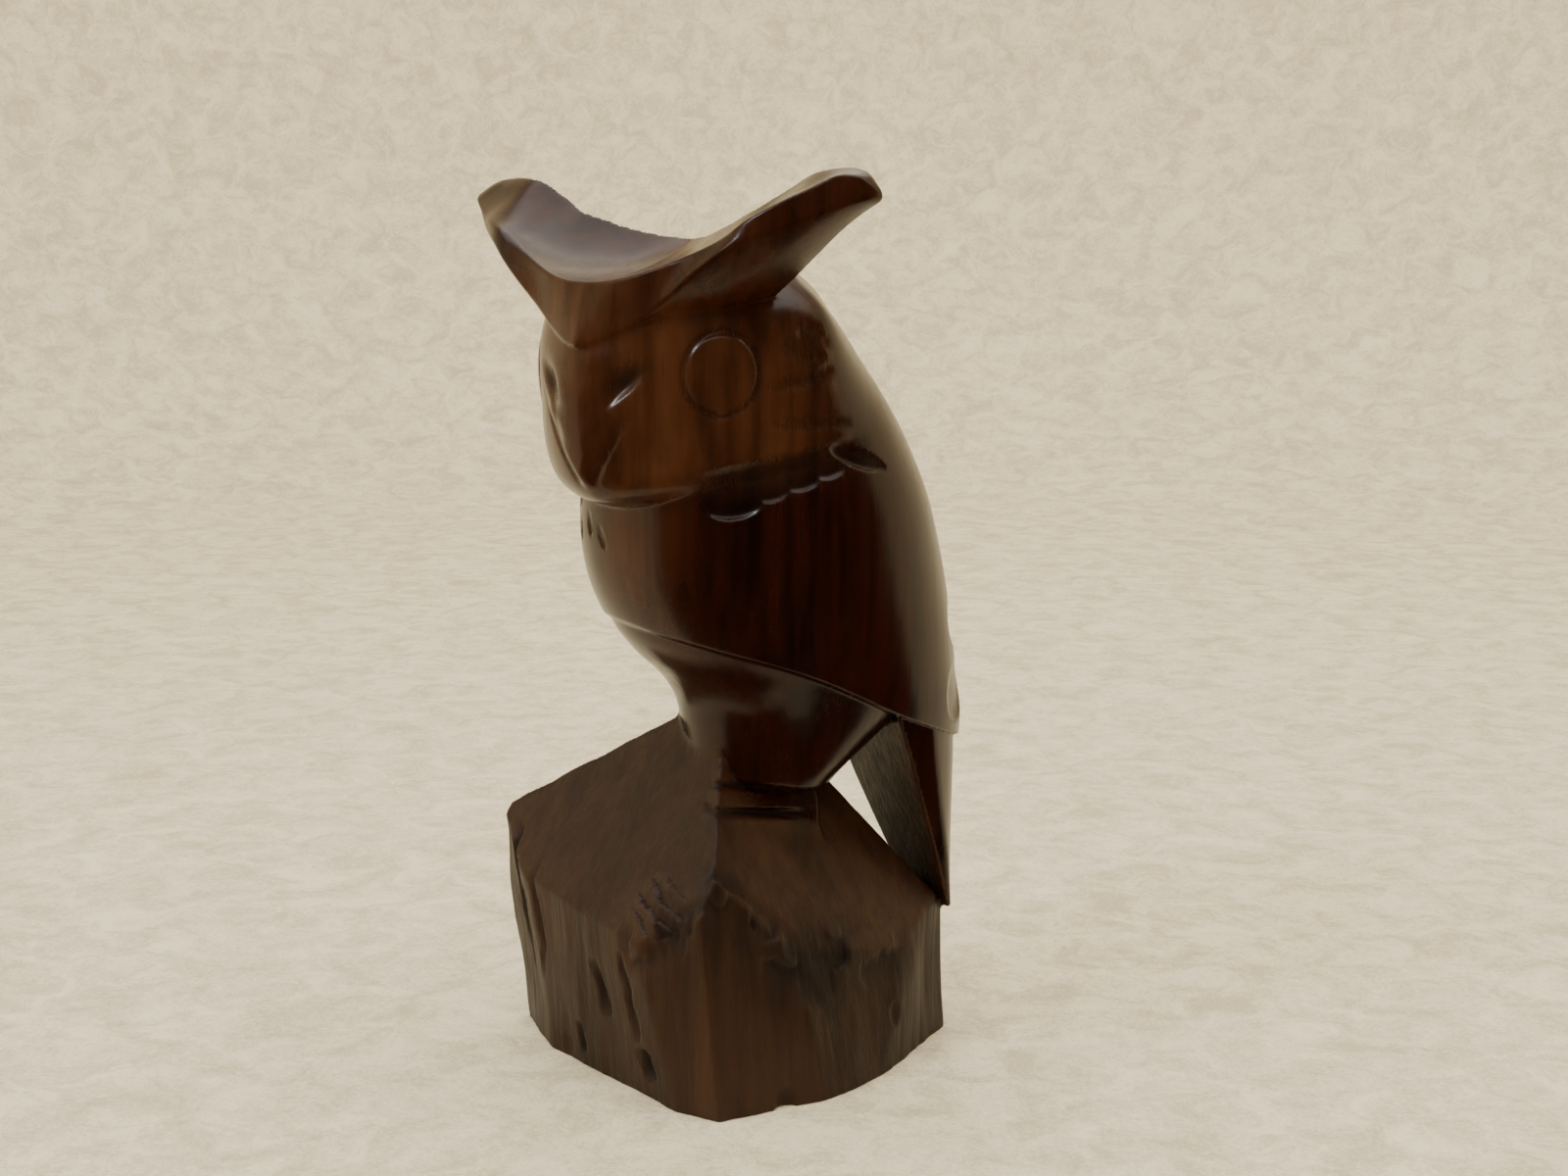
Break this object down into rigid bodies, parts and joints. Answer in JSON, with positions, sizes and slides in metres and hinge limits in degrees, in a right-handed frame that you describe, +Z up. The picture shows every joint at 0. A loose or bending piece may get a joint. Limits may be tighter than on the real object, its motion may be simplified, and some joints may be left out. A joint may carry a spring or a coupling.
{
  "type": "wooden owl figurine",
  "caption": "Carved dark hardwood horned owl with swept ear tufts, turned head and hanging tail, perched on a rough faceted base.",
  "frame": {"origin": "on the flat underside, below the middle of the perched body", "axes": "+Z up from the table; the breast faces -Y and the tail hangs at +Y; the owl's left side is +X"},
  "size_m": [0.0796, 0.0767, 0.1528],
  "materials": {
    "carved_wood": "gloss"
  },
  "bodies": {
    "root": {"carved_owl": "carved_wood"}
  },
  "joints": []
}
